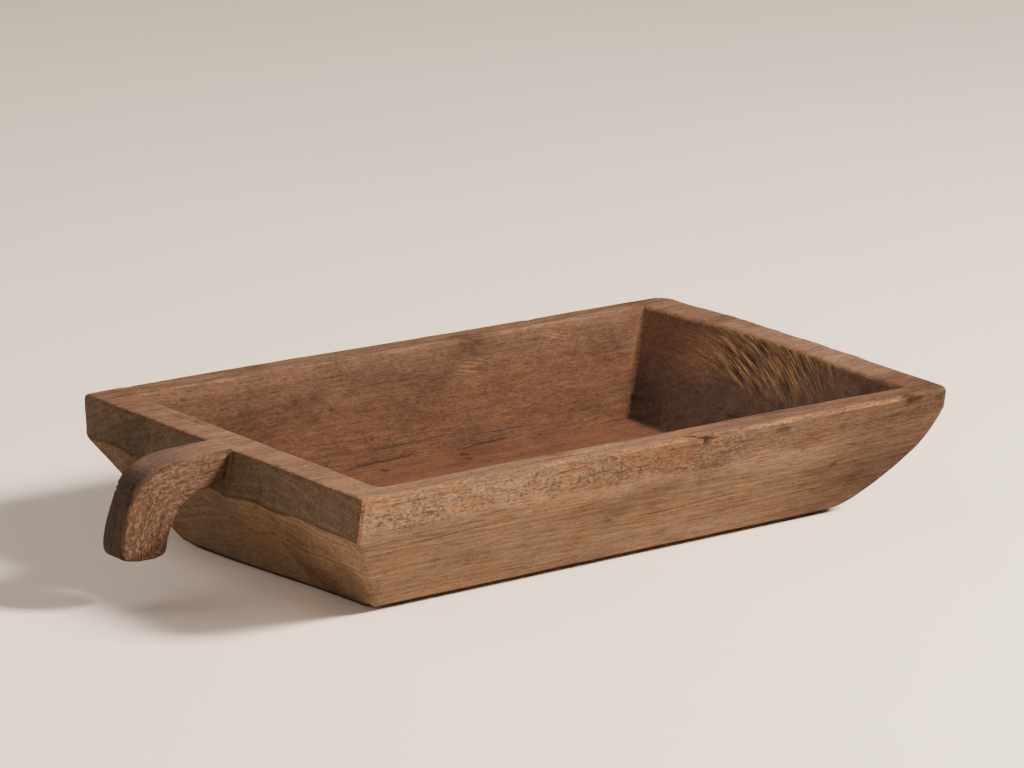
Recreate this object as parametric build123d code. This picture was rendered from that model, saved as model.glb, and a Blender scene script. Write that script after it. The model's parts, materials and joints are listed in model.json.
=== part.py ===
from build123d import *
import os

# A feed scoop hewn from hardwood: a shallow open tray with sloping walls and a flat floor, a level band across
# its back end, and a hooked handle that leaves the middle of that band and turns down towards the ground.
# X runs along the scoop (handle at -X, mouth at +X), Y across it and Z up. The origin is on the ground, under
# the middle of the whole scoop. Everything is in millimetres.

# Body, outside
body_length = 708.0        # rim to rim, without the handle
body_width = 468.0
rim_height = 140.0         # at the handle end
mouth_rim_height = 132.0   # the rim falls a little towards the mouth
band_height = 43.0         # upright part of the outside, from the rim down
side_lean = 8.0            # the band of each long side leans in by this much
side_inset = 90.0          # rim to foot, across
handle_end_inset = 74.0    # rim to foot, along, at the handle end
mouth_inset = 88.0         # rim to foot, along, at the mouth
corner_radius = 14.0       # worn corners of the rim

# Body, inside
floor_thickness = 40.0
side_rim = 30.0            # rim widths
handle_end_rim = 38.0
mouth_rim = 31.0
side_slope_run = 62.0      # how far each inner wall comes in, from rim to floor
handle_end_slope_run = 55.0
mouth_slope_run = 88.0
side_seam_slope = 0.3      # how far the floor's long edges lean out, for each unit of height

# Handle
handle_reach = 124.0       # how far it stands out from the band
handle_width = 42.0        # across, at the root
handle_tip_width = 31.0
handle_root_depth = 36.0
handle_tip_depth = 94.0    # underside of the tip, below the rim
handle_tip_thickness = 45.0

# Derived places
overall_length = body_length + handle_reach
back = handle_reach - overall_length / 2     # outer face of the band
front = back + body_length                   # outer lip of the mouth
half_width = body_width / 2
band_bottom = rim_height - band_height
above = 40.0                                 # cutting shapes reach this far past the rim
half_floor = half_width - side_rim - side_slope_run
floor_back = back + handle_end_rim + handle_end_slope_run
floor_front = front - mouth_rim - mouth_slope_run


def extrude_across(outline, width):
    """Solid of an XZ outline, width wide and centred on the XZ plane."""
    return extrude(Plane.XZ * make_face(outline), width / 2, both=True)


def extrude_along(outline, length):
    """Solid of a YZ outline, centred on the YZ plane."""
    return extrude(Plane.YZ * make_face(outline), length / 2, both=True)


def body_profile():
    """Side outline of the body: upright band, raked back end, flat foot and an upswept mouth."""
    lip_bottom = (front, rim_height - 0.82 * band_height)
    foot_front = (front - mouth_inset, 0)
    sweep = Spline(
        foot_front,
        (front - 0.68 * mouth_inset, 0.07 * rim_height),
        (front - 0.41 * mouth_inset, 0.23 * rim_height),
        (front - 0.19 * mouth_inset, 0.47 * rim_height),
        lip_bottom,
        tangents=((1, 0.12), (0.2, 1)),
    )
    back_edges = Polyline(
        (front, mouth_rim_height),
        (back, rim_height),
        (back, band_bottom),
        (back + handle_end_inset, 0),
        foot_front,
    )
    return back_edges + sweep + Line(lip_bottom, (front, mouth_rim_height))


def body_section():
    """Cross section of the body's outside: a leaning band over walls that slope in to the foot."""
    top = half_width + side_lean * above / band_height
    crease = half_width - side_lean
    foot = half_width - side_inset
    return Polyline(
        (-top, rim_height + above),
        (-crease, band_bottom),
        (-foot, 0),
        (foot, 0),
        (crease, band_bottom),
        (top, rim_height + above),
        close=True,
    )


def cavity_profile():
    """Side outline of the hollow, drawn on past the rim."""
    back_slope = handle_end_slope_run / (rim_height - floor_thickness)
    front_slope = mouth_slope_run / (mouth_rim_height - floor_thickness)
    rise = rim_height + above - floor_thickness
    return Polyline(
        (floor_back - back_slope * rise, rim_height + above),
        (floor_back, floor_thickness),
        (floor_front, floor_thickness),
        (floor_front + front_slope * rise, rim_height + above),
        close=True,
    )


def cavity_section():
    """Cross section of the hollow, drawn on past the rim."""
    slope = side_slope_run / (rim_height - floor_thickness)
    top = half_floor + slope * (rim_height + above - floor_thickness)
    return Polyline(
        (-top, rim_height + above),
        (-half_floor, floor_thickness),
        (half_floor, floor_thickness),
        (top, rim_height + above),
        close=True,
    )


def outer_body():
    """The whole outside as one solid, with the rim's corners worn round."""
    hewn = extrude_across(body_profile(), body_width * 2) & extrude_along(body_section(), overall_length * 2)
    plan = RectangleRounded(body_length, body_width, corner_radius)
    return hewn & Pos((back + front) / 2, 0) * extrude(plan, rim_height + above)


def hollowed_body():
    """The outside with the hollow taken out."""
    hollow = extrude_across(cavity_profile(), body_width * 2) & extrude_along(cavity_section(), overall_length * 2)
    return outer_body() - hollow


def floor_seam(direction, edge, slope):
    """Face where the floor meets a wall: it starts on the inner corner line and leans out by slope.

    direction points from the floor to the wall and edge is the corner line's distance along it.
    """
    out = Vector(*direction)
    return Plane(origin=out * edge + Vector(0, 0, floor_thickness), z_dir=out - Vector(0, 0, slope))


def end_seam_slope(far_mitre):
    """Lean of an end's floor seam that lets it meet the long wall's floor seam on the mitre."""
    normal = far_mitre.z_dir
    return abs((normal.Y * side_seam_slope + normal.Z) / normal.X)


def mitre(side, floor_x, rim_x, rim_z, slope_run):
    """Corner face between a long wall and an end: it holds the inner corner line and the rim's outer corner.

    side is +1 for far, -1 for near. The long wall lies on its positive side.
    """
    depth = rim_z - floor_thickness
    along = (slope_run if floor_x > 0 else -slope_run) / depth
    inner_line = Vector(along, side * side_slope_run / (rim_height - floor_thickness), 1)
    floor_corner = Vector(floor_x, side * half_floor, floor_thickness)
    outer_corner = Vector(rim_x, side * half_width, rim_z)
    normal = inner_line.cross(outer_corner - floor_corner)
    if normal.Y * side < 0:
        normal = -normal
    return Plane(origin=floor_corner, z_dir=normal)


def handle_outline():
    """Side outline of the hook: level on top, then bending down to a blunt tip."""
    root_bottom = rim_height - handle_root_depth
    tip = rim_height - handle_tip_depth
    outer = back - handle_reach
    inner = outer + handle_tip_thickness
    top_bend = Spline(
        (back - 0.42 * handle_reach, rim_height),
        (back - 0.72 * handle_reach, rim_height - 0.13 * handle_tip_depth),
        (back - 0.88 * handle_reach, rim_height - 0.36 * handle_tip_depth),
        (outer, tip + 0.14 * handle_tip_depth),
        tangents=((-1, 0), (-0.15, -1)),
    )
    under_bend = Spline(
        (inner, tip + 0.06 * handle_tip_depth),
        (back - 0.54 * handle_reach, rim_height - 0.60 * handle_tip_depth),
        (back - 0.36 * handle_reach, rim_height - 0.43 * handle_tip_depth),
        (back, root_bottom),
        tangents=((0.15, 1), (1, 0.05)),
    )
    blunt_end = Spline(
        (outer, tip + 0.14 * handle_tip_depth),
        (outer + 0.28 * handle_tip_thickness, tip),
        (inner - 0.12 * handle_tip_thickness, tip),
        (inner, tip + 0.06 * handle_tip_depth),
        tangents=((0, -1), (0.15, 1)),
    )
    root = Polyline((back, root_bottom), (back, rim_height), (back - 0.42 * handle_reach, rim_height))
    return root + top_bend + blunt_end + under_bend


def handle():
    """The hook. Its near face is flat and its far face comes in below the rim, so that it narrows to its tip."""
    near_face = -handle_width / 2
    far_root = handle_width / 2
    far_tip = near_face + handle_tip_width
    bottom = rim_height - handle_tip_depth - above
    taper = Polyline(
        (near_face, rim_height + above),
        (near_face, bottom),
        (far_tip, bottom),
        (far_tip, rim_height - 0.5 * handle_tip_depth),
        (far_root, rim_height - 0.1 * handle_tip_depth),
        (far_root, rim_height + above),
        close=True,
    )
    return extrude_across(handle_outline(), handle_width) & extrude_along(taper, overall_length * 2)


def cut(solid, planes, keep):
    """What is left of solid on one side of every plane."""
    for plane in planes:
        solid = split(solid, plane, keep=keep)
    return solid


def main():
    body = hollowed_body()
    mitres = {
        side: (
            mitre(side, floor_back, back, rim_height, handle_end_slope_run),
            mitre(side, floor_front, front, mouth_rim_height, mouth_slope_run),
        )
        for side in (1, -1)
    }
    seams = {
        "far": floor_seam((0, 1, 0), half_floor, side_seam_slope),
        "near": floor_seam((0, -1, 0), half_floor, side_seam_slope),
        "handle_end": floor_seam((-1, 0, 0), -floor_back, end_seam_slope(mitres[1][0])),
        "mouth": floor_seam((1, 0, 0), floor_front, end_seam_slope(mitres[1][1])),
    }
    handle_end = cut(cut(body, [seams["handle_end"]], Keep.TOP), [mitres[1][0], mitres[-1][0]], Keep.BOTTOM)
    mouth_end = cut(cut(body, [seams["mouth"]], Keep.TOP), [mitres[1][1], mitres[-1][1]], Keep.BOTTOM)
    crease = Plane((0, 0, band_bottom))
    pieces = {
        "floor": cut(body, seams.values(), Keep.BOTTOM),
        "near_side_wall": cut(body, [seams["near"], *mitres[-1]], Keep.TOP),
        "far_side_wall": cut(body, [seams["far"], *mitres[1]], Keep.TOP),
        "mouth_end_wall": mouth_end,
        "handle_end_wall": split(handle_end, crease, keep=Keep.BOTTOM),
        "handle_rail": split(handle_end, crease, keep=Keep.TOP),
        "handle": handle(),
    }
    os.makedirs("parts", exist_ok=True)
    for name, piece in pieces.items():
        export_step(piece, f"parts/{name}.step")
        box = piece.bounding_box()
        print(name, len(piece.solids()), round(piece.volume), box.min, box.max)


main()
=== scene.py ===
"""Looks of the feed scoop: a tray hewn from one block of hardwood, with a hooked handle.

The whole scoop is carved here as one distance field, given its tool marks and wear, and then cut along the
same seams as the CAD parts, so that each wooden piece replaces the CAD node of its own name. Lengths are in
metres.
"""
import json
import math

import bmesh
import bpy
import numpy as np
import openvdb
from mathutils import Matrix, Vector

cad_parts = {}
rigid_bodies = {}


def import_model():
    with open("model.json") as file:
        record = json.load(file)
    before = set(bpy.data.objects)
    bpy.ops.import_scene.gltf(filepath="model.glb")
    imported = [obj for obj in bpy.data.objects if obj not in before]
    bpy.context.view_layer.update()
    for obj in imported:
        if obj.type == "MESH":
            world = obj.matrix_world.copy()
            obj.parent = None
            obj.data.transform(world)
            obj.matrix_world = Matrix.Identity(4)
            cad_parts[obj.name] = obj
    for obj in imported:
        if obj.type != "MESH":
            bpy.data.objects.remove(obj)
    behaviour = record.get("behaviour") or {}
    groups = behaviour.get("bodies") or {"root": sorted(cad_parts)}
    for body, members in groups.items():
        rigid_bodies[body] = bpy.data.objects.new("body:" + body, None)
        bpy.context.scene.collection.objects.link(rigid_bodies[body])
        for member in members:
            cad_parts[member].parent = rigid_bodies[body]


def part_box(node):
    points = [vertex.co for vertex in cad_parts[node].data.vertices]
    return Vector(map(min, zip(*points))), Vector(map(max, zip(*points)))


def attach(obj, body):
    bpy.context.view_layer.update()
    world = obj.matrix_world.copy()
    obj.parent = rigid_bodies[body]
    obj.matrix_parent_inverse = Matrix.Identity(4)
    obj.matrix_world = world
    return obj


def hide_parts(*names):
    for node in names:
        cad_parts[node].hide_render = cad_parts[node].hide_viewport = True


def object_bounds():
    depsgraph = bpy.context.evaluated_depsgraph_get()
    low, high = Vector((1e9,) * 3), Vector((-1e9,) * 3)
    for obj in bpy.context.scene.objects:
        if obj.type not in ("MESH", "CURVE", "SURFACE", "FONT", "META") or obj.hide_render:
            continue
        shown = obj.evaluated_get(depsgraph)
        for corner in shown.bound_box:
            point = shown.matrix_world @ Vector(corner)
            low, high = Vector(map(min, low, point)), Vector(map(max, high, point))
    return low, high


for leftover in list(bpy.data.objects):
    bpy.data.objects.remove(leftover)

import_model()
cad_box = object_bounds()

MM = 0.001

# ---------------------------------------------------------------- places, from the CAD frame
rail_low, rail_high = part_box("handle_rail")
floor_low, floor_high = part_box("floor")
hook_low, hook_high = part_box("handle")
back = rail_low.x                              # outer face of the upright band
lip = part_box("mouth_end_wall")[1].x            # outer edge of the mouth
rim = rail_high.z
crease = rail_low.z                            # lower edge of the upright band
half_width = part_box("far_side_wall")[1].y
floor_top = floor_high.z
floor_back, floor_front = floor_low.x, floor_high.x
half_floor = floor_high.y
length = lip - back

# Sizes of the hewn shape
mouth_rim_drop = 8 * MM
side_lean = 8 * MM
side_inset = 90 * MM
back_inset = 74 * MM
mouth_inset = 88 * MM
side_rim = 30 * MM
back_rim = 38 * MM
mouth_rim = 31 * MM
upsweep_power = 1.75                           # how the underside of the mouth curves up
upsweep_height = 0.75 * rim
band_edge_stray = 1.9 * MM                     # how far the band's lower edge wanders up and down
band_bow = 6 * MM                              # how far the band stands back beside the handle
far_corner_bow = 1.6 * MM                      # how far it swells at the far corner
far_lean_share = 0.3                           # the far wall leans less than the near one
side_play = 2 * MM                             # how far inside the CAD box both long walls stay
far_mouth_play = 3 * MM                        # and the far wall even more, toward the mouth
near_foot_out = 6 * MM
foot_slant = 18 * MM                           # how much nearer the handle the far end of the foot is
foot_lift, near_foot_lift = 2.5 * MM, 3 * MM   # how high the edges of the foot are off the ground
mouth_crown = 3.5 * MM                         # how far the mouth's rim rises in its middle
edge_radius = 2.5 * MM
hollow_corner = 6 * MM
mouth_thickening = 6 * MM
hook_edge_radius = 2.4 * MM
hook_far_inset = 11 * MM                       # how far the hook's far face comes in below the rim
root_fillet = 3 * MM                           # where the handle grows out of the band
skin = 0.4 * MM                                # room kept inside the CAD box for tool marks
voxel = 1.9 * MM

mouth_top = rim - mouth_rim_drop


# ---------------------------------------------------------------- noise
LATTICE = np.random.default_rng(5).uniform(-1, 1, (64, 64, 64)).astype(np.float32)


def noise(points, size, shift=0.0):
    """Smooth noise from -1 to 1, with features of the given size: one number, or one along each axis."""
    cell = points.T / np.reshape(size, (-1, 1)) + shift
    low = np.floor(cell)
    t = cell - low
    t = t * t * (3 - 2 * t)
    low = low.astype(np.int64)
    shares = np.stack([1 - t, t])
    places = np.stack([low & 63, (low + 1) & 63])
    total = 0.0
    for i, j, k in np.ndindex(2, 2, 2):
        share = shares[i, 0] * shares[j, 1] * shares[k, 2]
        total = total + share * LATTICE[places[i, 0], places[j, 1], places[k, 2]]
    return total


def rough(points, size, shift=0.0, octaves=3):
    """Noise with finer noise on it."""
    size = np.asarray(size, float)
    return sum(noise(points, size / 2**k, shift + 7.3 * k) / 2**k for k in range(octaves))


def rise(value, low, high):
    """0 below low, 1 above high and smooth between."""
    t = np.clip((value - low) / (high - low), 0, 1)
    return t * t * (3 - 2 * t)


def bump(value, middle, reach):
    """1 at middle, falling smoothly to 0 at reach to either side."""
    return 1 - rise(abs(value - middle), 0, reach)


# ---------------------------------------------------------------- distance field
def wall(u, z, low, high):
    """Distance from a slanted face through two points of its section, positive on the side of growing u."""
    du, dz = high[0] - low[0], high[1] - low[1]
    return ((u - low[0]) * dz - (z - low[1]) * du) / np.hypot(du, dz)


def meet(a, b, radius):
    """What two shapes have in common, with the edge between them rounded."""
    edge = np.hypot(np.maximum(radius + a, 0), np.maximum(radius + b, 0))
    return np.minimum(-radius, np.maximum(a, b)) + edge


def join(a, b, radius):
    """Two shapes together, with a small fillet where they meet."""
    blend = np.clip(0.5 + 0.5 * (b - a) / radius, 0, 1)
    return b + (a - b) * blend - radius * blend * (1 - blend)


def ragged_crease(y):
    """Height of the lower edge of the band across the handle end, which wanders a little."""
    return crease + band_edge_stray * np.sin(y / 0.017) * np.sin(y / 0.045 + 1)


def far_corner(x, y):
    """1 at the far corner of the handle end, the widest of the block, falling to 0 away from it."""
    return rise(y, 0, half_width) * rise(-x, -0.05, -back)


def rim_reach(x, y):
    """How far out the rim of either long wall is."""
    toward_mouth = rise(y, 0, half_width) * rise(x, 0, 0.2)
    return half_width - side_play * (1 - far_corner(x, y)) - far_mouth_play * toward_mouth


def foot_reach(x, y):
    """How far out the foot of either long wall is."""
    return rim_reach(x, y) - side_inset + near_foot_out * (y < 0)


def long_sides(x, y, z):
    """The outer faces of both long walls: a leaning band over a wall that slants in to the foot."""
    across, wide = abs(y), rim_reach(x, y)
    shoulder = wide - side_lean * np.where(y > 0, far_lean_share, 1.0)
    band = wall(across, z, (shoulder, crease), (wide, rim))
    slant = wall(across, z, (foot_reach(x, y), 0), (shoulder, crease))
    return meet(band, slant, (5 + 9 * rise(x, 0, 0.35)) * MM)


def handle_end(x, y, z):
    """The outer face of the handle end: an upright band, bowed beside the handle, over a slanting wall."""
    beside_hook = bump(abs(y), hook_high.y - 4 * MM, 42 * MM) * rise(rim - z, 0, 32 * MM)
    beside_hook = beside_hook * rise(z, 0.35 * crease, 0.9 * crease)
    bow = band_bow * beside_hook + far_corner_bow * far_corner(x, y)
    foot = back + back_inset - foot_slant * rise(y, -0.14, 0.12)
    slant = wall(-x, z, (-foot, 0), (-back, ragged_crease(y))) - bow
    return meet(back - x - bow, slant, 2 * MM)


def underside(x, y, z):
    """The flat foot, a little off the ground along its edges, and the upward sweep under the mouth."""
    along = np.maximum(x - (lip - mouth_inset), 0) / mouth_inset
    slope = upsweep_power * upsweep_height / mouth_inset * along ** (upsweep_power - 1)
    foot = foot_reach(x, y)
    lift = (foot_lift + near_foot_lift * (y < 0)) * rise(abs(y), foot - 22 * MM, foot - 5 * MM)
    sweep = (upsweep_height * along**upsweep_power + lift - z) / np.hypot(1, slope)
    return meet(sweep, x - lip + skin, 5 * MM)


def outside(x, y, z):
    """The block before it is hollowed."""
    crown = mouth_crown * bump(y, 0.04, 0.24) * rise(x, floor_front, lip - mouth_rim)
    top = z - (rim - mouth_rim_drop * (x - back) / length + crown)
    sides = meet(long_sides(x, y, z), handle_end(x, y, z), edge_radius) + skin
    mouth_corner = rise(x, floor_front, lip) * rise(z, 0.06, 0.12)
    block = meet(sides, underside(x, y, z), edge_radius + 14 * MM * mouth_corner)
    worn_corner = 2.5 * bump(x, back, 50 * MM) * bump(y, half_width, 50 * MM)
    worn_corner = worn_corner + 4 * bump(x, lip, 40 * MM) * bump(y, -half_width, 40 * MM)
    return meet(block, top + skin, (2.4 + worn_corner) * MM)


def hollow(x, y, z):
    """The space inside: four slanting walls over a flat floor. The far corner of the mouth is cut steeper."""
    height = (z - floor_top) / (mouth_top - floor_top)
    far_half = rise(y, 0.05, 0.15)
    sides = wall(abs(y), z, (half_floor, floor_top), (half_width - side_rim, rim))
    sides = sides + (8 - 14 * height) * MM * far_half * rise(x, 0.20, 0.32)
    back_wall = wall(-x, z, (-floor_back, floor_top), (-(back + back_rim), rim))
    mouth = wall(x, z, (floor_front, floor_top), (lip - mouth_rim, mouth_top))
    mouth = mouth + mouth_thickening - (5 - 9 * height) * MM * far_half
    walls = meet(meet(sides, back_wall, hollow_corner), mouth, edge_radius)
    return meet(walls, floor_top - z, edge_radius)


def hook_outline():
    """The handle seen from the side, as a closed line of points: (out from the band, below the rim)."""
    reach, depth = back - hook_low.x, rim - hook_low.z
    corners = np.array([
        (-0.06, 0.0), (0.22, -0.005), (0.42, 0.0), (0.58, 0.03), (0.73, 0.105), (0.86, 0.24), (0.94, 0.45),
        (0.99, 0.67), (1.0, 0.84), (0.955, 0.925), (0.82, 0.96), (0.66, 0.955), (0.59, 0.91), (0.56, 0.76),
        (0.515, 0.63), (0.445, 0.50), (0.35, 0.42), (0.24, 0.37), (0.10, 0.35), (-0.06, 0.36),
    ])
    before, after = np.roll(corners, 1, 0), np.roll(corners, -1, 0)
    second = np.roll(corners, -2, 0)
    points = []
    for t in (0.0, 0.34, 0.67):
        points.append(0.5 * (2 * corners + (after - before) * t
                             + (2 * before - 5 * corners + 4 * after - second) * t**2
                             + (3 * corners - before - 3 * after + second) * t**3))
    curve = np.stack(points, 1).reshape(-1, 2)
    return np.stack([back - reach * curve[:, 0], rim - depth * curve[:, 1]], 1)


def polygon_distance(x, z, corners):
    """Distance from a closed line, negative inside it."""
    nearest = 1.0
    inside = 1.0
    for (ax, az), (bx, bz) in zip(corners, np.roll(corners, -1, 0)):
        ex, ez = bx - ax, bz - az
        t = np.clip(((x - ax) * ex + (z - az) * ez) / (ex * ex + ez * ez), 0, 1)
        nearest = np.minimum(nearest, (x - ax - ex * t) ** 2 + (z - az - ez * t) ** 2)
        crosses = (az > z) != (bz > z)
        left = x < ax + (z - az) * ex / (ez if ez else 1e-12)
        inside = np.where(crosses & left, -inside, inside)
    return inside * np.sqrt(nearest)


def along_line(x, z, line):
    """How far along an open line its nearest point lies, and how far away that point is."""
    nearest, place = np.full(x.shape, 1.0), np.zeros(x.shape)
    start = 0.0
    for (ax, az), (bx, bz) in zip(line[:-1], line[1:]):
        size = math.hypot(bx - ax, bz - az)
        t = np.clip(((x - ax) * (bx - ax) + (z - az) * (bz - az)) / size**2, 0, 1)
        away = np.hypot(x - ax - (bx - ax) * t, z - az - (bz - az) * t)
        closer = away < nearest
        nearest = np.where(closer, away, nearest)
        place = np.where(closer, start + t * size, place)
        start += size
    return place, nearest


HOOK = hook_outline()
HOOK_OUTSIDE = np.vstack([HOOK[:24], HOOK[23] - (0, 0.1)])      # its top and outer face, and on downwards


def hook(x, y, z):
    """The hooked handle: a flat near face, and a far face that comes in below the rim."""
    half = hook_high.y - skin
    near = -half - y
    far = y - half + hook_far_inset * rise(rim - z, 3 * MM, 36 * MM)
    section = polygon_distance(x, z, HOOK) + skin
    return meet(section, meet(near, far, 1 * MM), hook_edge_radius)


def tray(x, y, z):
    """The hollowed block, without the handle."""
    return meet(outside(x, y, z), -hollow(x, y, z), 3.0 * MM)


def scoop(x, y, z):
    """The whole scoop, a little inside the CAD shape."""
    return join(tray(x, y, z), hook(x, y, z), root_fillet)


def field(points):
    """The scoop's distance at each of many points."""
    distance = tray(*points.T)
    behind = points[:, 0] < floor_back
    distance[behind] = join(distance[behind], hook(*points[behind].T), root_fillet)
    return distance


def slope_of(points):
    """Unit direction in which the distance grows."""
    step = 0.4 * MM
    grown = [field(points + step * axis) - field(points - step * axis) for axis in np.eye(3)]
    gradient = np.stack(grown, 1)
    return gradient / np.maximum(np.linalg.norm(gradient, axis=1, keepdims=True), 1e-9)


def carve():
    """Vertices and faces of the scoop's surface, with the vertices drawn exactly onto it."""
    low, high = (np.array(corner) for corner in cad_box)
    low, high = low - 3 * voxel, high + 3 * voxel
    axes = [np.arange(a, b, voxel) for a, b in zip(low, high)]
    x, y, z = np.meshgrid(*axes, indexing="ij", sparse=True)
    band = 3 * voxel
    grid = openvdb.FloatGrid(background=band)
    grid.copyFromArray(np.clip(scoop(x, y, z), -band, band).astype(np.float32))
    points, _, quads = grid.convertToPolygons(isovalue=0.0, adaptivity=0.0)
    points = low + points.astype(float) * voxel
    for _ in range(2):
        points = points - field(points)[:, None] * slope_of(points)
    return points, quads[:, ::-1]


# ---------------------------------------------------------------- zones, wear and tool marks
# The wood's tones, linear red, green and blue
OUTER_TONE = (0.117, 0.070, 0.0400)
UPPER_TONE = (0.104, 0.059, 0.0330)
MOUTH_SIDE_TONE = (0.047, 0.0245, 0.0135)
LOWER_END_TONE = (0.138, 0.086, 0.050)
BAND_TONE = (0.080, 0.054, 0.0330)
WALL_TONE = (0.0495, 0.0203, 0.0096)
HOLLOW_FLOOR_TONE = (0.074, 0.0300, 0.0150)
MOUTH_TONE = (0.070, 0.039, 0.0270)
RIM_TONE = (0.120, 0.064, 0.036)
EDGE_TONE = (0.070, 0.034, 0.0185)
HOOK_TONE = (0.058, 0.0315, 0.0180)
HOOK_BACK_TONE = (0.034, 0.0200, 0.0140)
HOOK_TOP_TONE = (0.080, 0.047, 0.031)


def on_far_wall(x, z):
    """A place on the inner face of the far wall, so far along the scoop and so high."""
    return x, half_floor + (z - floor_top) * (half_width - side_rim - half_floor) / (rim - floor_top), z


def on_near_wall(x, z):
    """A place on the outer face of the near wall."""
    side = -half_width
    shoulder, foot = rim_reach(x, side) - side_lean, foot_reach(x, side)
    if z > crease:
        return x, -(shoulder + side_lean * (z - crease) / (rim - crease)), z
    return x, -(foot + (shoulder - foot) * z / crease), z


def on_floor(x, y):
    """A place on the floor of the hollow."""
    return x, y, floor_top


def on_rim(x, y):
    """A place on top of the rim."""
    return x, y, rim


def on_handle_end(y, z):
    """A place on the outer face of the handle end, so far across the scoop and so high."""
    return back + back_inset * max(1 - z / crease, 0), y, z


# Drying checks in millimetres: the face, where each starts and ends on it, and half its width
CHECKS = [
    (on_far_wall, (-55, 41), (50, 44), 0.7),
    (on_far_wall, (-20, 53), (105, 55), 0.4),
    (on_far_wall, (80, 40), (150, 42), 0.7),
    (on_far_wall, (105, 50), (200, 48), 0.5),
    (on_floor, (180, 141), (240, 136), 0.8),
    (on_floor, (222, 137), (300, 133), 0.8),
    (on_near_wall, (94, 132), (121, 129), 0.6),
    (on_near_wall, (109, 138), (103, 124), 0.6),
    (on_near_wall, (-235, 80), (-120, 84), 0.4),
    (on_near_wall, (40, 52), (190, 56), 0.4),
    (on_handle_end, (-67, 124), (-68, 106), 0.5),
    (on_handle_end, (120, 126), (121, 112), 0.4),
    (on_handle_end, (-60, 60), (50, 56), 0.4),
    (on_rim, (-266, 150), (-262, 60), 0.4),
    (on_rim, (-130, -219), (60, -216), 0.4),
]
# Knots and stains in millimetres: the face, the middle, radius along the grain, radius across it, darkness
KNOTS = [
    (on_near_wall, (107, 131), 7, 6, 0.8), (on_near_wall, (365, 130), 14, 8, 0.7),
    (on_near_wall, (18, 57), 6, 4, 0.6), (on_near_wall, (200, 124), 10, 5, 0.6),
    (on_near_wall, (285, 68), 5, 4, 0.6),
    (on_floor, (80, 123), 6, 5, 0.8), (on_floor, (-15, 124), 6, 5, 0.8), (on_floor, (75, 108), 5, 4, 0.8),
    (on_far_wall, (305, 104), 34, 17, 0.3), (on_far_wall, (-80, 100), 40, 20, 0.35),
    (on_far_wall, (155, 131), 30, 12, 0.35), (on_far_wall, (-150, 90), 50, 24, 0.25),
    (on_far_wall, (60, 75), 45, 18, 0.25),
    (on_handle_end, (-150, 30), 20, 30, 0.35),
]


def zones(points, normals):
    """Where each kind of surface is, from 0 to 1 at every vertex."""
    x, y, z = points.T
    buried = -outside(x, y, z)
    past_band = (x < back + 3 * MM) & (abs(y) < hook_high.y + 2 * MM) & (buried < -1 * MM)
    depth = 5 * MM
    worn = np.clip(1 + field(points - depth * normals) / depth, 0, 1)
    # How enclosed each vertex is: the mask of the shade painted into corners and recesses.
    corner_shade = np.clip(1 - field(points + 2.2 * depth * normals) / (2.2 * depth), 0, 1)
    inner = rise(-hollow(x, y, z), -1.6 * MM, 0) * (buried > 2 * MM)
    top = rise(normals[:, 2], 0.60, 0.90) * (1 - rise(buried, 3 * MM, 7 * MM)) * (z > crease)
    upper = rise(z + 7 * MM * rough(points, 0.05, 2.2), crease, crease + 12 * MM)
    side_face = rise(abs(normals[:, 1]), 0.5, 0.8) * (1 - inner) * (1 - top) * (1 - past_band)
    return {
        "inner": inner,
        "worn": worn,
        "corner_shade": corner_shade,
        "top": top,
        "upper": upper * side_face,
        "flaky": upper * side_face * (1 - 0.8 * rise(x + 0.04 * rough(points, 0.06, 4.4), 0.02, 0.24)),
        "hook": past_band.astype(float),
        "near": past_band * rise(-normals[:, 1], 0.55, 0.85),
    }


def painted(tint, share, tone):
    """The tint with a share of another tone laid over it."""
    return tint + share[:, None] * (np.array(tone) - tint)


def outer_tints(points, normals, zone, drift):
    """Tones of the outer faces: weathered long walls, and a dark band above a paler end wall, with a painted
    shadow line along the crease between them.
    """
    x, y, z = points.T
    tint = painted(np.tile(OUTER_TONE, (len(points), 1)), zone["upper"], UPPER_TONE)
    tint = painted(tint, 0.65 * rise(x + 60 * MM * drift, -0.10, 0.08) * zone["upper"], MOUTH_SIDE_TONE)
    tint = painted(tint, 0.85 * rise(x + 80 * MM * drift, 0.20, 0.40) * (y < 0), MOUTH_SIDE_TONE)
    facing_back = rise(-normals[:, 0], 0.5, 0.75)
    tint = painted(tint, facing_back, LOWER_END_TONE)
    above = z - ragged_crease(y)
    tint = painted(tint, facing_back * rise(above, -1 * MM, 1 * MM), BAND_TONE)
    # A thin painted shadow line along the crease under the band.
    return painted(tint, 0.7 * facing_back * bump(above, 0, 2.6 * MM), 0.3 * np.array(BAND_TONE))


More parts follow.
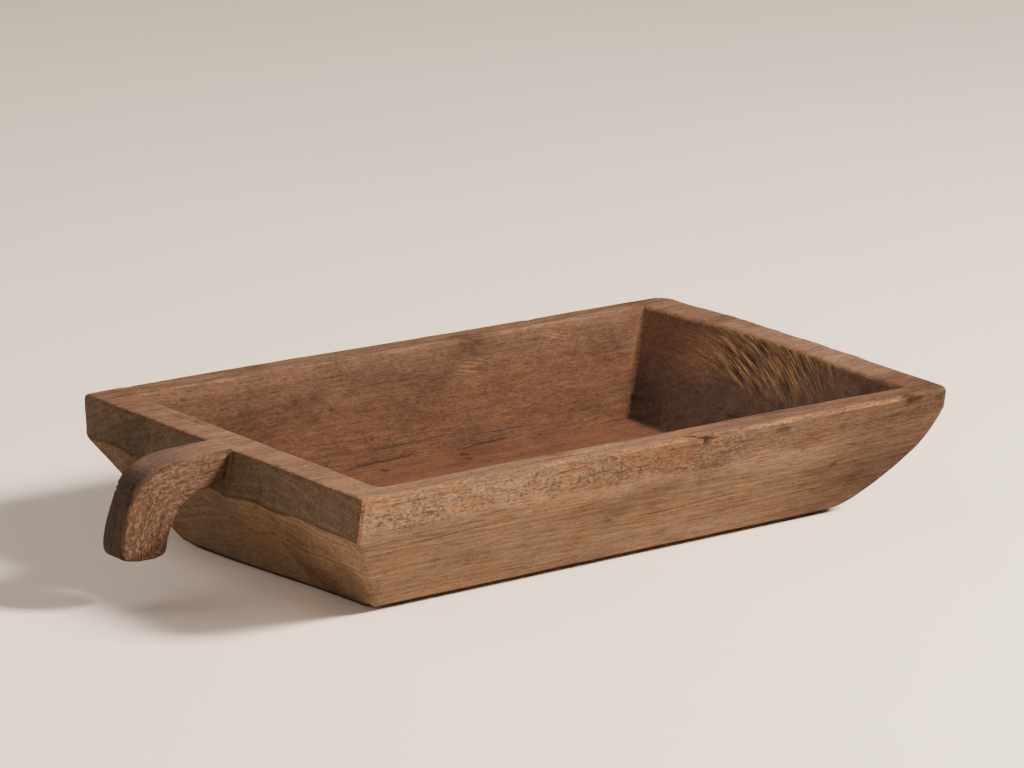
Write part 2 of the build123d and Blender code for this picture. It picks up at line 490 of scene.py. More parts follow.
def inner_tints(tint, points, normals, zone, drift):
    """Lays the tones of the hollow over the tint: redder walls, a paler floor, a dark mouth wall, and painted
    shade where the floor meets the mouth wall.
    """
    x, y, z = points.T
    inner = zone["inner"]
    mouth_wall = inner * rise(-normals[:, 0], 0.45, 0.65)
    tint = painted(tint, inner, WALL_TONE)
    tint = painted(tint, 0.4 * inner * rise(z + 10 * MM * drift, 0.085, 0.12), HOOK_TONE)
    tint = painted(tint, inner * rise(normals[:, 2], 0.85, 0.97), HOLLOW_FLOOR_TONE)
    # A chiselled strip by the far corner of the mouth, painted paler as a highlight where it catches the
    # light.
    chiselled_highlight = bump(x - floor_front + 8 * MM - (z - floor_top) * 0.93, -5 * MM, 5 * MM) * rise(z, 0.07, 0.10)
    corner = chiselled_highlight * inner * (y > half_floor) * (1 - rise(-normals[:, 0], 0.3, 0.5))
    tint = painted(tint, 0.45 * corner, 1.9 * np.array(WALL_TONE))
    tint = painted(tint, mouth_wall, MOUTH_TONE)
    upper_far = mouth_wall * rise(y, 0.0, 0.10) * rise(z, 0.06, 0.11)
    tint = painted(tint, 0.5 * upper_far, 2.7 * np.array(WALL_TONE))
    tint = painted(tint, 0.35 * mouth_wall * rise(0.10 - z, 0, 0.05), 1.15 * np.array(WALL_TONE))
    # Painted shade in the corner where the floor meets the mouth wall.
    junction_shade = bump(x, floor_front, 5 * MM) * bump(z, floor_top, 6 * MM)
    tint = painted(tint, 0.75 * inner * junction_shade, 0.2 * np.array(HOLLOW_FLOOR_TONE))
    return painted(tint, inner * rise(z, rim - 22 * MM, rim - 4 * MM), EDGE_TONE)


def edge_tints(tint, points, normals, zone, drift):
    """Lays the tones of the rims and a painted shadow line along the foot over the tint."""
    x, y, z = points.T
    top = zone["top"]
    tint = painted(tint, top, RIM_TONE)
    tint = painted(tint, 0.5 * top * rise(y, 0.12, 0.19), EDGE_TONE)
    tint = painted(tint, 0.8 * top * rise(-y, 0.12, 0.18) * rise(x + 60 * MM * drift, 0.02, 0.22), EDGE_TONE)
    # A painted contact shadow along the foot, darkest near the ground.
    foot_shadow = (1 - zone["inner"]) * (1 - rise(z, 2.5 * MM, 8 * MM * (0.6 + 0.5 * drift)))
    foot_shadow = foot_shadow * rise(normals[:, 2], -0.97, -0.85)
    return painted(tint, 0.9 * foot_shadow, 0.10 * np.array(OUTER_TONE))


def hook_tints(tint, points, normals, zone, drift):
    """Lays the tones of the handle over the tint: greyer on top, darkest on its outer face and at its tip."""
    hook_zone = zone["hook"]
    down_hook = HOOK_OUTSIDE[0, 0] - zone["fibre"][:, 0]
    tint = painted(tint, hook_zone * (1 - zone["top"]), HOOK_TONE)
    tint = painted(tint, hook_zone * zone["top"] * rise(back - points[:, 0], 0, 60 * MM), HOOK_TOP_TONE)
    dirty = bump(down_hook, 0.128 - 0.012 * drift, 0.026)
    tint = painted(tint, 0.55 * hook_zone * dirty, 0.4 * np.array(HOOK_TONE))
    tint = painted(tint, 0.6 * zone["near"] * rise(down_hook, 0.11, 0.19), 0.5 * np.array(HOOK_TONE))
    return painted(tint, hook_zone * rise(-normals[:, 0], 0.3, 0.6), HOOK_BACK_TONE)


def tints(points, normals, zone):
    """The wood's colour at every vertex, before its grain, with painted shade and a painted highlight in it:
    one tone for each zone, with soft borders.
    """
    drift = 0.5 + 0.5 * rough(points, (0.16, 0.07, 0.07), 5.7)
    tint = outer_tints(points, normals, zone, drift)
    for lay in (inner_tints, edge_tints, hook_tints):
        tint = lay(tint, points, normals, zone, drift)
    return tint


def hook_groove(points, zone):
    """The dark line along the near edge of the hook, from its bend down to its tip: a shallow groove, painted
    dark as the shade in it.
    """
    depth = rim - zone["fibre"][:, 2] + 0.9 * MM * rough(points, 0.012, 7.7)
    down_hook = HOOK_OUTSIDE[0, 0] - zone["fibre"][:, 0]
    near_edge = zone["hook"] * rise(-points[:, 1], hook_high.y - 3 * MM, hook_high.y - 1.5 * MM)
    near_edge = near_edge * rise(-points[:, 1], 0, hook_high.y)
    return near_edge * bump(depth, 2.8 * MM, 3.4 * MM) * rise(down_hook, 0.05, 0.09)


def checks(points, normals):
    """For every vertex, its signed distance from the nearest drying check, and half that check's width."""
    across, width = np.full(len(points), 0.05), np.zeros(len(points))
    sway = 1.1 * MM * rough(points, (0.022, 0.022, 0.022), 6.6)
    for face, first, last, half in CHECKS:
        start, end = (np.array(face(u * MM, v * MM)) for u, v in (first, last))
        way = end - start
        size = np.linalg.norm(way)
        beyond = points - start
        place = beyond @ way / size**2
        beside = np.cross(normals, way / size)
        off = np.einsum("ij,ij->i", beyond, beside) + sway
        above = abs(np.einsum("ij,ij->i", beyond, normals))
        closer = (abs(off) < 9 * MM) & (place > 0) & (place < 1) & (above < 7 * MM) & (abs(off) < abs(across))
        across = np.where(closer, off, across)
        taper = np.sqrt(rise(place, 0, 0.3) * rise(1 - place, 0, 0.3)) * (1 - rise(abs(off), 5 * MM, 8 * MM))
        width = np.where(closer, half * MM * taper, width)
    return across, width


def knots(points):
    """1 in the middle of a knot or stain, falling to 0 at its edge."""
    share = np.zeros(len(points))
    ragged = 0.45 * rough(points, 0.008, 1.2)
    for face, (u, v), along, across, darkness in KNOTS:
        reach = np.array((along, across, across)) * MM
        away = np.linalg.norm((points - face(u * MM, v * MM)) / reach, axis=1)
        share = np.maximum(share, darkness * (1 - rise(away + ragged, 0.30, 1.25)))
    return share


def fibres(points, zone):
    """Coordinates that follow the wood: first along its fibres. In the hook they follow its bend."""
    place, depth = along_line(points[:, 0], points[:, 2], HOOK_OUTSIDE)
    bent = np.stack([HOOK_OUTSIDE[0, 0] - place, points[:, 1], rim - depth], 1)
    return np.where(zone["hook"][:, None] > 0.5, bent, points)


def torn_grain(points, zone):
    """Where the adze tore the end grain: the top of the mouth wall and the top of the far wall."""
    x, y, z = points.T
    patchy = rough(points, 45 * MM, 3.1)
    mouth_wall = zone["inner"] * rise(x, floor_front, floor_front + 20 * MM)
    arcs = mouth_wall * bump(y, 0.0, 0.16) * rise(z + 0.004 * patchy, 0.082, 0.112)
    far_wall = zone["inner"] * rise(y, half_floor, half_floor + 15 * MM)
    chop = far_wall * bump(x, 0.245, 0.026) * bump(z + 0.003 * patchy, 0.121, 0.013)
    scrapes = far_wall * bump(x, 0.14, 0.10) * bump(z, 0.108, 0.016) * rise(patchy, -0.4, 0.6)
    return np.clip(1.15 * arcs + 0.50 * chop + 0.22 * scrapes, 0, 1)


def torn_rows(points):
    """Coordinates along and across the torn fibres, which run down the wall in arcs."""
    x, y, z = points.T
    end = rise(x, floor_front, floor_front + 20 * MM)
    along = end * -y + (1 - end) * x
    across = z + 0.22 * along + 0.9 * (along + 0.06) ** 2 * end
    return np.stack([along, across], 1)


def tool_marks(points, zone):
    """How far the surface stands out from the plain shape at every vertex."""
    x, y, z = points.T
    worn, inner = zone["worn"], zone["inner"]
    wavy = 0.8 * MM * noise(points, (0.13, 0.10, 0.10), 1.7) * rise(z, -40 * MM, crease)
    facets = (0.3 - 0.8 * abs(noise(points, (0.070, 0.036, 0.036), 4.2))) * MM * rise(z, -40 * MM, crease)
    edge = rise(worn, 0.25, 0.55)
    chipped = -2.8 * MM * edge * rise(rough(points, (0.026, 0.012, 0.012), 9.4), 0.15, 1.0)
    chipped = chipped - 0.9 * MM * edge * (0.5 + 0.5 * noise(points, (0.016, 0.0075, 0.0075), 3.3))
    check = -1.3 * MM * bump(zone["split"][:, 0], 0, 2.6 * MM) * np.minimum(zone["split"][:, 1] / 0.0006, 1)
    grain = 0.16 * MM * noise(zone["fibre"], (0.050, 0.006, 0.006), 2.6)
    mouth_edge = rise(x, floor_front + 40 * MM, lip - 20 * MM)
    notches = 0.5 + 0.5 * noise(points, (0.2, 0.021, 0.05), 6.1)
    chops = -1.9 * MM * mouth_edge * (0.35 + 0.65 * worn) * notches
    pits = -0.7 * MM * zone["upper"] * rise(noise(points, 0.0055, 8.8), 0.55, 0.9)
    rows = torn_rows(points) / (36 * MM, 3.4 * MM)
    ridges = -0.9 * MM * zone["torn"] * abs(noise(np.insert(rows, 0, 0, axis=1), 1.0, 5.5))
    cuts = 0.5 + 0.5 * noise(points, (0.018, 0.05, 0.018), 2.9)
    hewn = -3.0 * MM * mouth_edge * worn * (1 - inner) * cuts
    groove = -0.9 * MM * zone["groove"]
    return wavy + facets + chipped + check + grain * (1 - 0.5 * inner) + chops + pits + ridges + hewn + groove


def inside_box(points):
    """Points held inside the CAD box."""
    low, high = (np.array(corner) for corner in cad_box)
    return np.clip(points, low + 0.05 * MM, high - 0.05 * MM)


def finished_surface():
    """The carved surface with its marks, and the zones that the wood's finish follows."""
    points, quads = carve()
    normals = slope_of(points)
    zone = zones(points, normals)
    zone["fibre"] = fibres(points, zone)
    zone["groove"] = hook_groove(points, zone)
    zone["split"] = np.insert(np.stack(checks(points, normals), 1), 2, 0, axis=1)
    zone["knot"] = knots(points)
    zone["torn"] = torn_grain(points, zone)
    zone["rows"] = np.insert(torn_rows(points), 0, 0, axis=1)
    zone["tint"] = tints(points, normals, zone)
    off_ground = 0.15 + 0.85 * rise(points[:, 2], 0.5 * MM, 6 * MM)
    points = inside_box(points + (tool_marks(points, zone) * off_ground)[:, None] * normals)
    return points, quads, {name: zone[name] for name in zone if name not in ("top", "upper")}


# ---------------------------------------------------------------- cutting into the CAD parts
def plane(point, normal):
    """A cutting plane: a point on it and its unit normal."""
    return Vector(point), Vector(normal).normalized()


def mitre(side, floor_x, rim_x, rim_z, run):
    """Corner plane through an inner corner line and the rim's outer corner, facing the long wall."""
    along = math.copysign(run, floor_x) / (rim_z - floor_top)
    side_run = half_width - side_rim - half_floor
    inner_line = Vector((along, side * side_run / (rim - floor_top), 1))
    floor_corner = Vector((floor_x, side * half_floor, floor_top))
    normal = inner_line.cross(Vector((rim_x, side * half_width, rim_z)) - floor_corner)
    return plane(floor_corner, normal if normal.y * side > 0 else -normal)


def flipped(cut):
    return cut[0], -cut[1]


def seams():
    """The cutting planes of each piece. A piece is on the positive side of all of them."""
    lean = 0.3
    back_mitre = {s: mitre(s, floor_back, back, rim, floor_back - back - back_rim) for s in (1, -1)}
    front_mitre = {s: mitre(s, floor_front, lip, mouth_top, lip - mouth_rim - floor_front) for s in (1, -1)}
    corners = (back_mitre[1][1], front_mitre[1][1])
    back_lean, front_lean = (abs((normal.y * lean + normal.z) / normal.x) for normal in corners)
    far = plane((0, half_floor, floor_top), (0, 1, -lean))
    near = plane((0, -half_floor, floor_top), (0, -1, -lean))
    handle_end = plane((floor_back, 0, floor_top), (-1, 0, -back_lean))
    mouth = plane((floor_front, 0, floor_top), (1, 0, -front_lean))
    behind = plane((back - 2 * MM, 0, 0), (1, 0, 0))
    end = [handle_end, flipped(back_mitre[1]), flipped(back_mitre[-1]), behind]
    above = plane((0, 0, crease), (0, 0, 1))
    return {
        "handle": [flipped(behind)],
        "handle_rail": [*end, above],
        "handle_end_wall": [*end, flipped(above)],
        "mouth_end_wall": [mouth, flipped(front_mitre[1]), flipped(front_mitre[-1])],
        "near_side_wall": [near, back_mitre[-1], front_mitre[-1]],
        "far_side_wall": [far, back_mitre[1], front_mitre[1]],
        "floor": [flipped(cut) for cut in (near, far, handle_end, mouth)],
    }


def raw_mesh(name, points, faces, layers):
    """A mesh with the zone layers on its vertices."""
    mesh = bpy.data.meshes.new(name)
    mesh.vertices.add(len(points))
    mesh.vertices.foreach_set("co", points.astype(np.float32).ravel())
    mesh.loops.add(faces.size)
    mesh.loops.foreach_set("vertex_index", faces.astype(np.int32).ravel())
    mesh.polygons.add(len(faces))
    mesh.polygons.foreach_set("loop_start", np.arange(0, faces.size, faces.shape[1], dtype=np.int32))
    mesh.update(calc_edges=True)
    for layer, values in layers.items():
        vector = values.ndim == 2
        made = mesh.attributes.new(layer, "FLOAT_VECTOR" if vector else "FLOAT", "POINT")
        made.data.foreach_set("vector" if vector else "value", values.astype(np.float32).ravel())
    return mesh


def kept_part(points, faces, layers, cut):
    """The faces that reach the positive side of a cut, with only the vertices they use."""
    point, normal = (np.array(v) for v in cut)
    reaches = ((points - point) @ normal > 0)[faces].any(axis=1)
    used, renumbered = np.unique(faces[reaches], return_inverse=True)
    return points[used], renumbered.reshape(-1, faces.shape[1]), {k: v[used] for k, v in layers.items()}


def cut_mesh(mesh, cuts):
    """Cuts the mesh and closes every cut with flat faces, which are marked in the layer called cap."""
    shape = bmesh.new()
    shape.from_mesh(mesh)
    cap = shape.faces.layers.int.new("cap")
    for point, normal in cuts:
        whole = shape.verts[:] + shape.edges[:] + shape.faces[:]
        bmesh.ops.bisect_plane(
            shape, geom=whole, dist=1e-7, plane_co=point, plane_no=normal, clear_inner=True)
        rim_edges = [edge for edge in shape.edges if edge.is_boundary]
        filled = bmesh.ops.triangle_fill(shape, edges=rim_edges, use_beauty=False, normal=-normal)
        for made in filled["geom"]:
            if isinstance(made, bmesh.types.BMFace):
                made[cap] = 1
    shape.to_mesh(mesh)
    shape.free()


def shade_smooth_between(mesh):
    """Smooth wood with flat caps: at the seams the wood keeps the normals it had before it was cut."""
    corners = len(mesh.loops)
    owner = np.empty(corners, np.int32)
    mesh.loops.foreach_get("vertex_index", owner)
    wood = np.empty(len(mesh.vertices) * 3, np.float32)
    mesh.attributes["grown"].data.foreach_get("vector", wood)
    normals = wood.reshape(-1, 3)[owner]
    faces = len(mesh.polygons)
    caps = np.empty(faces, np.int32)
    mesh.attributes["cap"].data.foreach_get("value", caps)
    flat = np.empty(faces * 3, np.float32)
    mesh.polygons.foreach_get("normal", flat)
    sizes = np.empty(faces, np.int32)
    mesh.polygons.foreach_get("loop_total", sizes)
    on_cap = np.repeat(caps, sizes) > 0
    normals[on_cap] = np.repeat(flat.reshape(-1, 3), sizes, axis=0)[on_cap]
    mesh.polygons.foreach_set("use_smooth", caps == 0)
    mesh.attributes.remove(mesh.attributes["grown"])
    mesh.attributes.remove(mesh.attributes["cap"])
    mesh.normals_split_custom_set(normals.tolist())


def cut_pieces():
    """The finished surface as separate closed pieces, one for each CAD node."""
    points, quads, layers = finished_surface()
    whole = raw_mesh("whole", points, quads, {})
    grown = np.empty(len(points) * 3, np.float32)
    whole.vertex_normals.foreach_get("vector", grown)
    layers["grown"] = grown.reshape(-1, 3).astype(float)
    bpy.data.meshes.remove(whole)
    made = {}
    for name, cuts in seams().items():
        mesh = raw_mesh(name, *kept_part(points, quads, layers, cuts[0]))
        cut_mesh(mesh, cuts)
        shade_smooth_between(mesh)
        made[name] = bpy.data.objects.new("hewn_" + name, mesh)
        bpy.context.scene.collection.objects.link(made[name])
    return made


# ---------------------------------------------------------------- materials
class Graph:
    """A small helper for building a node tree: every call adds a node and returns its first output."""

    def __init__(self, material):
        material.use_nodes = True
        self.tree = material.node_tree
        self.shader = self.tree.nodes["Principled BSDF"]

    def add(self, kind, inputs=(), output=0, **settings):
        node = self.tree.nodes.new("ShaderNode" + kind)
        for name, value in settings.items():
            setattr(node, name, value)
        for key, value in dict(inputs).items():
            self.feed(node.inputs[key], value)
        return node.outputs[output]

    def feed(self, socket, value):
        if isinstance(value, bpy.types.NodeSocket):
            self.tree.links.new(value, socket)
        else:
            socket.default_value = value

    def math(self, operation, a, b=0.0, clamp=False):
        return self.add("Math", {0: a, 1: b}, operation=operation, use_clamp=clamp)

    def layer(self, name):
        return self.add("Attribute", output="Fac", attribute_name=name)

    def place(self, stretch, shift=(0, 0, 0), layer="fibre"):
        """The point on the wood in metres, along its fibres first, times stretch along each axis."""
        spot = self.add("Attribute", output="Vector", attribute_name=layer)
        return self.add("Mapping", {"Vector": spot, "Scale": stretch, "Location": shift})

    def noise(self, where, scale=1.0, detail=2.0, roughness=0.5, distortion=0.0):
        inputs = {"Vector": where, "Scale": scale, "Detail": detail, "Roughness": roughness,
                  "Distortion": distortion}
        return self.add("TexNoise", inputs)

    def range(self, value, low, high, to_low=0.0, to_high=1.0):
        inputs = {"Value": value, "From Min": low, "From Max": high, "To Min": to_low, "To Max": to_high}
        return self.add("MapRange", inputs, interpolation_type="SMOOTHSTEP")

    def mix(self, factor, a, b, blend="MIX"):
        node = self.tree.nodes.new("ShaderNodeMix")
        node.data_type = "RGBA"
        node.blend_type = blend
        for socket, value in ((node.inputs[0], factor), (node.inputs[6], a), (node.inputs[7], b)):
            self.feed(socket, value)
        return node.outputs[2]

    def times(self, tone, factors):
        """The tone with its red, green and blue multiplied by three numbers."""
        return self.mix(1.0, tone, colour(*factors), "MULTIPLY")


def colour(red, green, blue):
    """Linear colour with full alpha."""
    return (red, green, blue, 1.0)


def grain_noises(g):
    """The noises in the wood, by name. All are stretched along its fibres."""
    drift = g.noise(g.place((1.5, 5.0, 5.0)), detail=3.0)
    ring_place = g.add("VectorMath", {0: g.place((0.0, 1.0, 1.0), (0.0, 0.05, 0.60))}, output="Value",
                       operation="LENGTH")
    ring_count = g.math("ADD", g.math("MULTIPLY", ring_place, 230.0), g.math("MULTIPLY", drift, 16.0))
    return {
        "growth": g.add("TexNoise", {"W": ring_count, "Scale": 1.0, "Detail": 3.0}, noise_dimensions="1D"),
        "streak": g.noise(g.place((9.0, 120.0, 120.0)), detail=6.0, roughness=0.70),
        "fine": g.noise(g.place((55.0, 430.0, 430.0)), detail=3.0, roughness=0.6),
        "speck": g.noise(g.place((130.0, 560.0, 560.0)), detail=3.0, roughness=0.65),
        "mottle": g.noise(g.place((13.0, 24.0, 24.0)), detail=5.0, roughness=0.62),
        "crumbs": g.noise(g.place((230.0, 400.0, 400.0)), detail=5.0, roughness=0.80),
        "blotch": g.noise(g.place((6.0, 9.0, 9.0), (1.0, 4.0, 2.0)), detail=6.0, roughness=0.70),
        "lines": g.noise(g.place((24.0, 330.0, 330.0), (5.0, 2.0, 7.0)), detail=3.0, roughness=0.60),
        "patch": g.noise(g.place((24.0, 60.0, 60.0), (3.0, 1.0, 2.0)), detail=4.0, roughness=0.65),
    }


def grain_of(g, noises, inner):
    """Growth rings and fibres as one value from 0 to 1, rougher and less streaky in the hollow."""
    shares = {"streak": 0.24, "fine": 0.26, "growth": 0.18, "crumbs": 0.32}
    grain = 0.0
    for name, share in shares.items():
        grain = g.math("ADD", grain, g.math("MULTIPLY", noises[name], share))
    coarse = g.math("MULTIPLY", noises["crumbs"], 0.6)
    coarse = g.math("ADD", coarse, g.math("MULTIPLY", noises["blotch"], 0.4))
    return g.range(g.mix(g.math("MULTIPLY", inner, 0.45), grain, coarse), 0.34, 0.66)


def grained_tone(g, noises, grain, tint, lively):
    """The zone's own tint, darker and paler with the grain, in dark stains and warm strands."""
    tone = g.mix(grain, g.times(tint, (0.60, 0.55, 0.52)), g.times(tint, (1.42, 1.46, 1.48)))
    stain = g.math("MULTIPLY", g.range(noises["mottle"], 0.46, 0.70), g.range(lively, 0.0, 1.0, 0.28, 0.36))
    tone = g.mix(stain, tone, g.times(tone, (0.46, 0.43, 0.44)))
    strands = g.math("MULTIPLY", g.range(noises["patch"], 0.48, 0.66), g.range(lively, 0.0, 1.0, 0.25, 0.60))
    strands = g.math("MULTIPLY", strands, g.range(noises["fine"], 0.44, 0.60, 0.0, 0.75))
    return g.mix(strands, tone, g.times(tint, (1.60, 1.50, 1.20)))


def flaked_tone(g, noises, tone, tint, flaky):
    """Lays bleached, rusty and dark specks over the tone where the rim band is weathered and flaky."""
    crumbs, mottle = noises["crumbs"], noises["mottle"]
    bleached = g.math("MULTIPLY", g.range(crumbs, 0.50, 0.60), g.range(mottle, 0.38, 0.60, 0.25, 0.85))
    tone = g.mix(g.math("MULTIPLY", bleached, flaky), tone, g.times(tint, (1.85, 1.95, 2.0)))
    rusty = g.math("MULTIPLY", g.range(noises["patch"], 0.50, 0.62, 0.0, 0.6), flaky)
    tone = g.mix(rusty, tone, g.times(tint, (1.45, 1.15, 0.85)))
    pitted = g.math("MULTIPLY", g.range(crumbs, 0.38, 0.48, 0.80, 0.0), flaky)
    return g.mix(pitted, tone, g.times(tint, (0.30, 0.24, 0.22)))


def dirty_tone(g, noises, tone, lively):
    """Lays ruddy and grimy patches over the tone."""
    ruddy = g.range(noises["mottle"], 0.36, 0.52, 0.75, 0.0)
    ruddy = g.math("MULTIPLY", ruddy, g.range(lively, 0.0, 1.0, 1.0, 0.3))
    tone = g.mix(ruddy, tone, g.times(tone, (1.06, 0.95, 0.83)))
    grime = g.range(noises["blotch"], 0.50, 0.66, 0.0, 0.60)
    return g.mix(grime, tone, g.times(tone, (0.50, 0.44, 0.40)))


def rubbed_edge_tone(g, noises, tone, worn, hook_zone):
    """Lays pale rubbed wood and dark dirt over the tone along the edges."""
    edge = g.math("MULTIPLY", g.range(worn, 0.20, 0.60), g.range(noises["patch"], 0.36, 0.62, 0.10, 0.90))
    edge = g.math("MULTIPLY", edge, g.range(hook_zone, 0.0, 1.0, 1.0, 0.35))
    tone = g.mix(edge, tone, colour(0.195, 0.088, 0.036))
    dirt = g.math("MULTIPLY", g.range(worn, 0.12, 0.30), g.range(noises["crumbs"], 0.47, 0.60, 0.0, 0.75))
    return g.mix(dirt, tone, colour(0.035, 0.017, 0.009))


def torn_tone(g, tone, torn):
    """Lays dark and golden torn fibres over the tone, in rows down the mouth wall."""
    rows = g.noise(g.place((1, 26, 860), layer="rows"), detail=3.0, roughness=0.6)
    dark = g.math("MULTIPLY", torn, g.range(rows, 0.36, 0.48, 0.70, 0.0))
    golden = g.math("MULTIPLY", torn, g.range(rows, 0.47, 0.60, 0.0, 0.85))
    tone = g.mix(dark, tone, colour(0.026, 0.012, 0.006))
    return g.mix(golden, tone, colour(0.225, 0.108, 0.040))


def hook_grain_tone(g, noises, tone, hook_zone, hook_near):
    """Lays pale flecks and open pores over the tone of the handle, most on its near face."""
    flecks = g.range(noises["crumbs"], 0.48, 0.64, 0.0, 0.75)
    flecks = g.math("MULTIPLY", flecks, g.range(noises["mottle"], 0.34, 0.54))
    flecks = g.math("MULTIPLY", flecks, g.math("ADD", g.math("MULTIPLY", hook_near, 0.85), 0.15))
    tone = g.mix(g.math("MULTIPLY", flecks, hook_zone), tone, colour(0.170, 0.082, 0.037))
    open_pores = g.math("MULTIPLY", hook_near, g.range(noises["lines"], 0.34, 0.42, 0.60, 0.0))
    return g.mix(open_pores, tone, colour(0.016, 0.008, 0.005))


def opened_checks(g):
    """1 in the middle of a drying check, 0 beside it: its half width is the second number of the layer."""
    split = g.add("SeparateXYZ", {0: g.add("Attribute", output="Vector", attribute_name="split")})
    width = split.node.outputs[1]
    away = g.math("DIVIDE", g.math("ABSOLUTE", split), g.math("MAXIMUM", width, 1e-5))
    close = g.math("MULTIPLY", g.math("SUBTRACT", 1.0, away), 2.5, clamp=True)
    return g.math("MULTIPLY", close, g.range(width, 0.0, 0.0002))


def wood(name, roughness=0.82):
    """Old hardwood, oiled by hands and grain: fibres along X, growth rings about a line under the scoop,
    pores, stains, painted shade in the corners and pale worn edges. The zone layers say where each finish is."""
    material = bpy.data.materials.new(name)
    g = Graph(material)
    inner, worn, corner_shade, flaky, hook_zone, hook_near, torn, knot, groove = (
        g.layer(n) for n in ("inner", "worn", "corner_shade", "flaky", "hook", "near", "torn", "knot", "groove"))
    noises = grain_noises(g)
    grain = grain_of(g, noises, inner)
    tint = g.add("Attribute", output="Color", attribute_name="tint")
    lively = g.math("ADD", inner, hook_zone, clamp=True)

    tone = grained_tone(g, noises, grain, tint, lively)
    tone = flaked_tone(g, noises, tone, tint, flaky)
    tone = dirty_tone(g, noises, tone, lively)
    tone = rubbed_edge_tone(g, noises, tone, worn, hook_zone)
    long_pores = g.range(noises["lines"], 0.35, 0.42, 0.50, 0.0)
    long_pores = g.math("MULTIPLY", long_pores, g.range(lively, 0.0, 1.0, 1.0, 0.45))
    tone = g.mix(long_pores, tone, g.times(tint, (0.25, 0.22, 0.21)))
    tone = torn_tone(g, tone, torn)
    tone = hook_grain_tone(g, noises, tone, hook_zone, hook_near)
    pore = g.range(noises["speck"], 0.34, 0.43, 1.0, 0.0)
    pore_share = g.math("ADD", g.math("MULTIPLY", hook_zone, 0.25), 0.38)
    tone = g.mix(g.math("MULTIPLY", pore, pore_share), tone, colour(0.014, 0.007, 0.004))
    # Painted shade, darkest deep in corners and recesses.
    tone = g.mix(g.range(corner_shade, 0.30, 0.85, 0.0, 0.70), tone, colour(0.010, 0.005, 0.003))
    tone = g.mix(knot, tone, g.times(tone, (0.22, 0.17, 0.15)))
    tone = g.mix(opened_checks(g), tone, colour(0.008, 0.004, 0.003))
    # The groove along the hook's near edge, painted dark as shade.
    tone = g.mix(g.math("MULTIPLY", groove, 0.85), tone, colour(0.014, 0.008, 0.005))
    g.feed(g.shader.inputs["Base Color"], tone)

    g.feed(g.shader.inputs["Roughness"], g.range(grain, 0.0, 1.0, roughness + 0.10, roughness - 0.06))
    g.shader.inputs["Specular IOR Level"].default_value = 0.10
    height = g.math("ADD", g.math("MULTIPLY", grain, 0.6), g.math("MULTIPLY", noises["speck"], 0.8))
    height = g.math("SUBTRACT", height, g.math("MULTIPLY", pore, 0.5))
    relief = g.add("Bump", {"Height": height, "Strength": 0.6, "Distance": 0.0010})
    g.feed(g.shader.inputs["Normal"], relief)
    return material


def tray_wood():
    return wood("tray_wood", roughness=0.85)


def wall_wood():
    return wood("wall_wood")


def rail_wood():
    return wood("rail_wood")


def handle_wood():
    return wood("handle_wood", roughness=0.74)


# ---------------------------------------------------------------- the scoop
def build_scoop():
    """Makes every hewn piece and puts it in the place of its CAD node."""
    finishes = {"tray_wood": tray_wood(), "wall_wood": wall_wood(), "rail_wood": rail_wood(),
                "handle_wood": handle_wood()}
    slots = {"floor": "tray_wood", "handle_rail": "rail_wood", "handle": "handle_wood"}
    for node, piece in cut_pieces().items():
        finish = slots.get(node, "wall_wood")
        piece.data.materials.append(finishes[finish])
        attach(piece, "root")
        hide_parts(node)


# ---------------------------------------------------------------- studio
def ground():
    """Plain pale floor, large enough to fill the view."""
    reach = 14.0
    mesh = bpy.data.meshes.new("ground")
    corners = [(-reach, -reach, 0), (reach, -reach, 0), (reach, reach, 0), (-reach, reach, 0)]
    mesh.from_pydata(corners, [], [(0, 1, 2, 3)])
    floor = bpy.data.objects.new("ground", mesh)
    bpy.context.scene.collection.objects.link(floor)
    material = bpy.data.materials.new("pale_floor")
    g = Graph(material)
    spot = g.add("Mapping", {"Vector": g.add("TexCoord", output="Object"), "Scale": (2.5, 2.5, 2.5)})
    mottle = g.noise(spot, detail=4.0, roughness=0.6)
    g.feed(g.shader.inputs["Base Color"], g.mix(mottle, colour(0.78, 0.63, 0.505), colour(0.82, 0.67, 0.545)))
    g.shader.inputs["Roughness"].default_value = 0.42
    g.shader.inputs["Specular IOR Level"].default_value = 0.45
    mesh.materials.append(material)


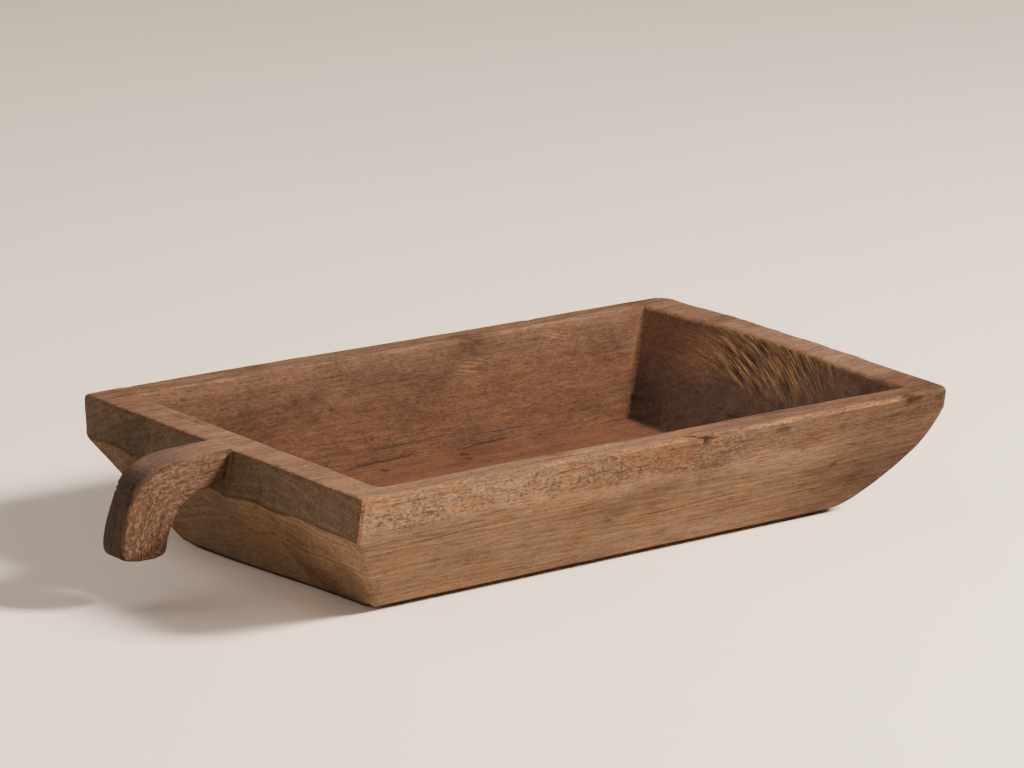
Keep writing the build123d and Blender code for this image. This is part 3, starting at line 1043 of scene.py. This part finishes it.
def lamp(name, direction, distance, size, power, tint):
    """A square soft light that shines on the middle of the scoop from the given direction."""
    data = bpy.data.lights.new(name, "AREA")
    data.shape = "SQUARE"
    data.size = size
    data.energy = power
    data.color = tint
    light = bpy.data.objects.new(name, data)
    aim = Vector(((back + lip) / 2, 0, rim / 2))
    toward = Vector(direction).normalized()
    light.location = aim + toward * distance
    light.rotation_euler = toward.to_track_quat("Z", "Y").to_euler()
    bpy.context.scene.collection.objects.link(light)


def studio_light():
    """A soft key from the right, weak lights on the left and above, and an even fill from all around."""
    lamp("key", (0.518, -0.628, 0.581), 4.2, 1.0, 880, (1.0, 0.955, 0.90))
    lamp("reflector", (-0.88, -0.30, 0.34), 3.0, 2.4, 25, (1.0, 0.97, 0.93))
    lamp("far_bounce", (-0.70, 0.66, 0.28), 3.2, 2.6, 44, (1.0, 0.98, 0.96))
    lamp("overhead", (-0.38, 0.22, 0.90), 3.2, 2.0, 30, (1.0, 0.98, 0.96))
    world = bpy.data.worlds.new("studio")
    bpy.context.scene.world = world
    world.use_nodes = True
    sky = world.node_tree.nodes["Background"]
    sky.inputs["Color"].default_value = colour(1.0, 0.985, 0.97)
    sky.inputs["Strength"].default_value = 0.14


def camera():
    """A long lens from the handle end, a little above the rim."""
    azimuth, elevation = math.radians(-36.64), math.radians(14.91)
    distance, aim_right, aim_up = 5.3517, -0.01035, 0.0696
    away = Vector((math.sin(azimuth) * math.cos(elevation), -math.cos(azimuth) * math.cos(elevation),
                   math.sin(elevation)))
    right = Vector((math.cos(azimuth), math.sin(azimuth), 0))
    up = away.cross(right)
    aim = Vector(((back + lip) / 2, 0, rim / 2)) + right * aim_right + up * aim_up
    data = bpy.data.cameras.new("camera")
    data.sensor_width = 36
    data.lens = 193.36
    data.clip_end = 60
    view = bpy.data.objects.new("camera", data)
    view.location = aim + away * distance
    view.rotation_euler = away.to_track_quat("Z", "Y").to_euler()
    bpy.context.scene.collection.objects.link(view)
    bpy.context.scene.camera = view


build_scoop()
ground()
studio_light()
camera()
